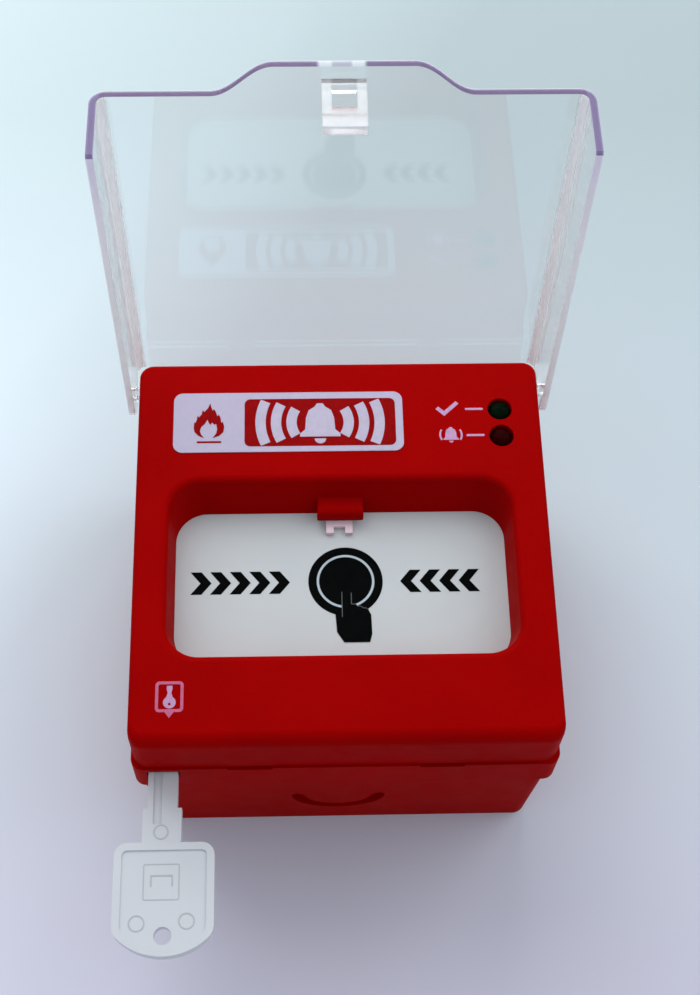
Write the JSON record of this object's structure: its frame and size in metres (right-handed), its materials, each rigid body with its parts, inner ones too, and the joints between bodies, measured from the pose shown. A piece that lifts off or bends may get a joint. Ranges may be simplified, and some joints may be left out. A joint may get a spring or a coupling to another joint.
{
  "type": "manual call point",
  "caption": "Square red wall-mounted call point: deep back box, recessed push panel, hinged clear cover standing open, two indicator lamps and a plastic test key.",
  "frame": {"origin": "centre of the back face, the one that goes against the wall", "axes": "+X across the face to the right, +Y up the face towards the cover's hinge, +Z out of the wall towards the person pressing. The row lies on its back as it was pictured; on a wall +Y points up."},
  "size_m": [0.0924, 0.1365, 0.1377],
  "materials": {
    "housing_red": "satin moulded red ABS",
    "panel_white": "satin off-white acetal",
    "label_white": "matt printed film",
    "clip_white": "satin pinkish white acetal",
    "key_white": "satin white nylon",
    "clear": "clear polycarbonate",
    "led_green": "tinted epoxy, unlit",
    "led_red": "tinted epoxy, unlit",
    "inner_black": "matt black nylon",
    "board_green": "solder mask on glass-fibre laminate",
    "block_green": "matt polyamide",
    "spring_steel": "drawn spring wire",
    "screw_steel": "bright zinc plate",
    "clamp_brass": "tin-washed brass",
    "plunger_red": "matt",
    "resistor_tan": "lacquered ceramic",
    "capacitor_blue": "printed sleeve"
  },
  "bodies": {
    "housing": {"back_box": "housing_red", "chassis": "housing_red", "front_shell": "housing_red", "fire_label": "label_white", "panel_springs": "spring_steel", "catch_pin": "screw_steel", "catch_spring": "spring_steel", "reset_spring": "spring_steel", "key_guide": "inner_black", "circuit_board": "board_green", "microswitch": "inner_black", "terminal_block": "block_green", "terminal_screws": "screw_steel", "terminal_clamps": "clamp_brass", "normal_led": "led_green", "alarm_led": "led_red", "led_spacers": "inner_black", "resistors": "resistor_tan", "capacitor": "capacitor_blue", "control_chip": "inner_black", "board_screws": "screw_steel", "chassis_screws": "screw_steel"},
    "panel": {"press_panel": "panel_white"},
    "catch": {"panel_catch": "clip_white"},
    "slider": {"reset_slider": "panel_white"},
    "key": {"test_key": "key_white"},
    "cover": {"clear_cover": "clear"},
    "lever": {"switch_lever": "spring_steel"},
    "plunger": {"switch_plunger": "plunger_red"}
  },
  "joints": [
    {"name": "panel_press", "type": "slide", "parent": "housing", "child": "panel", "axis": [0, 0, -1], "range_m": [0, 0.0025], "stiffness_N_per_m": 700, "springref_m": -0.003, "deforming": ["panel_springs"]},
    {"name": "catch_tilt", "type": "hinge", "parent": "housing", "child": "catch", "pos_m": [-0.0004, 0.0165, 0.044], "axis": [1, 0, 0], "range_deg": [0, 10.21], "deforming": ["catch_spring"]},
    {"name": "lever_swing", "type": "hinge", "parent": "housing", "child": "lever", "pos_m": [-0.0054, -0.0113, 0.041], "axis": [0, 1, 0], "range_deg": [0, 11.28]},
    {"name": "plunger_push", "type": "slide", "parent": "housing", "child": "plunger", "axis": [0, 0, -1], "range_m": [0, 0.00058]},
    {"name": "slider_reset", "type": "slide", "parent": "housing", "child": "slider", "axis": [0, 1, 0], "range_m": [0, 0.0025], "stiffness_N_per_m": 300, "springref_m": -0.003, "deforming": ["reset_spring"]},
    {"name": "key_slide", "type": "slide", "parent": "housing", "child": "key", "axis": [0, -1, 0], "range_m": [-0.0025, 0.034]},
    {"name": "cover_hinge", "type": "hinge", "parent": "housing", "child": "cover", "pos_m": [0, 0.04072, 0.048], "axis": [1, 0, 0], "range_deg": [0, 93]}
  ],
  "couplings": [
    {"joint": "catch_tilt", "follows": "panel_press", "rad_per_m": 71.209},
    {"joint": "lever_swing", "follows": "panel_press", "rad_per_m": 78.677},
    {"joint": "plunger_push", "follows": "panel_press", "ratio": 0.23}
  ]
}
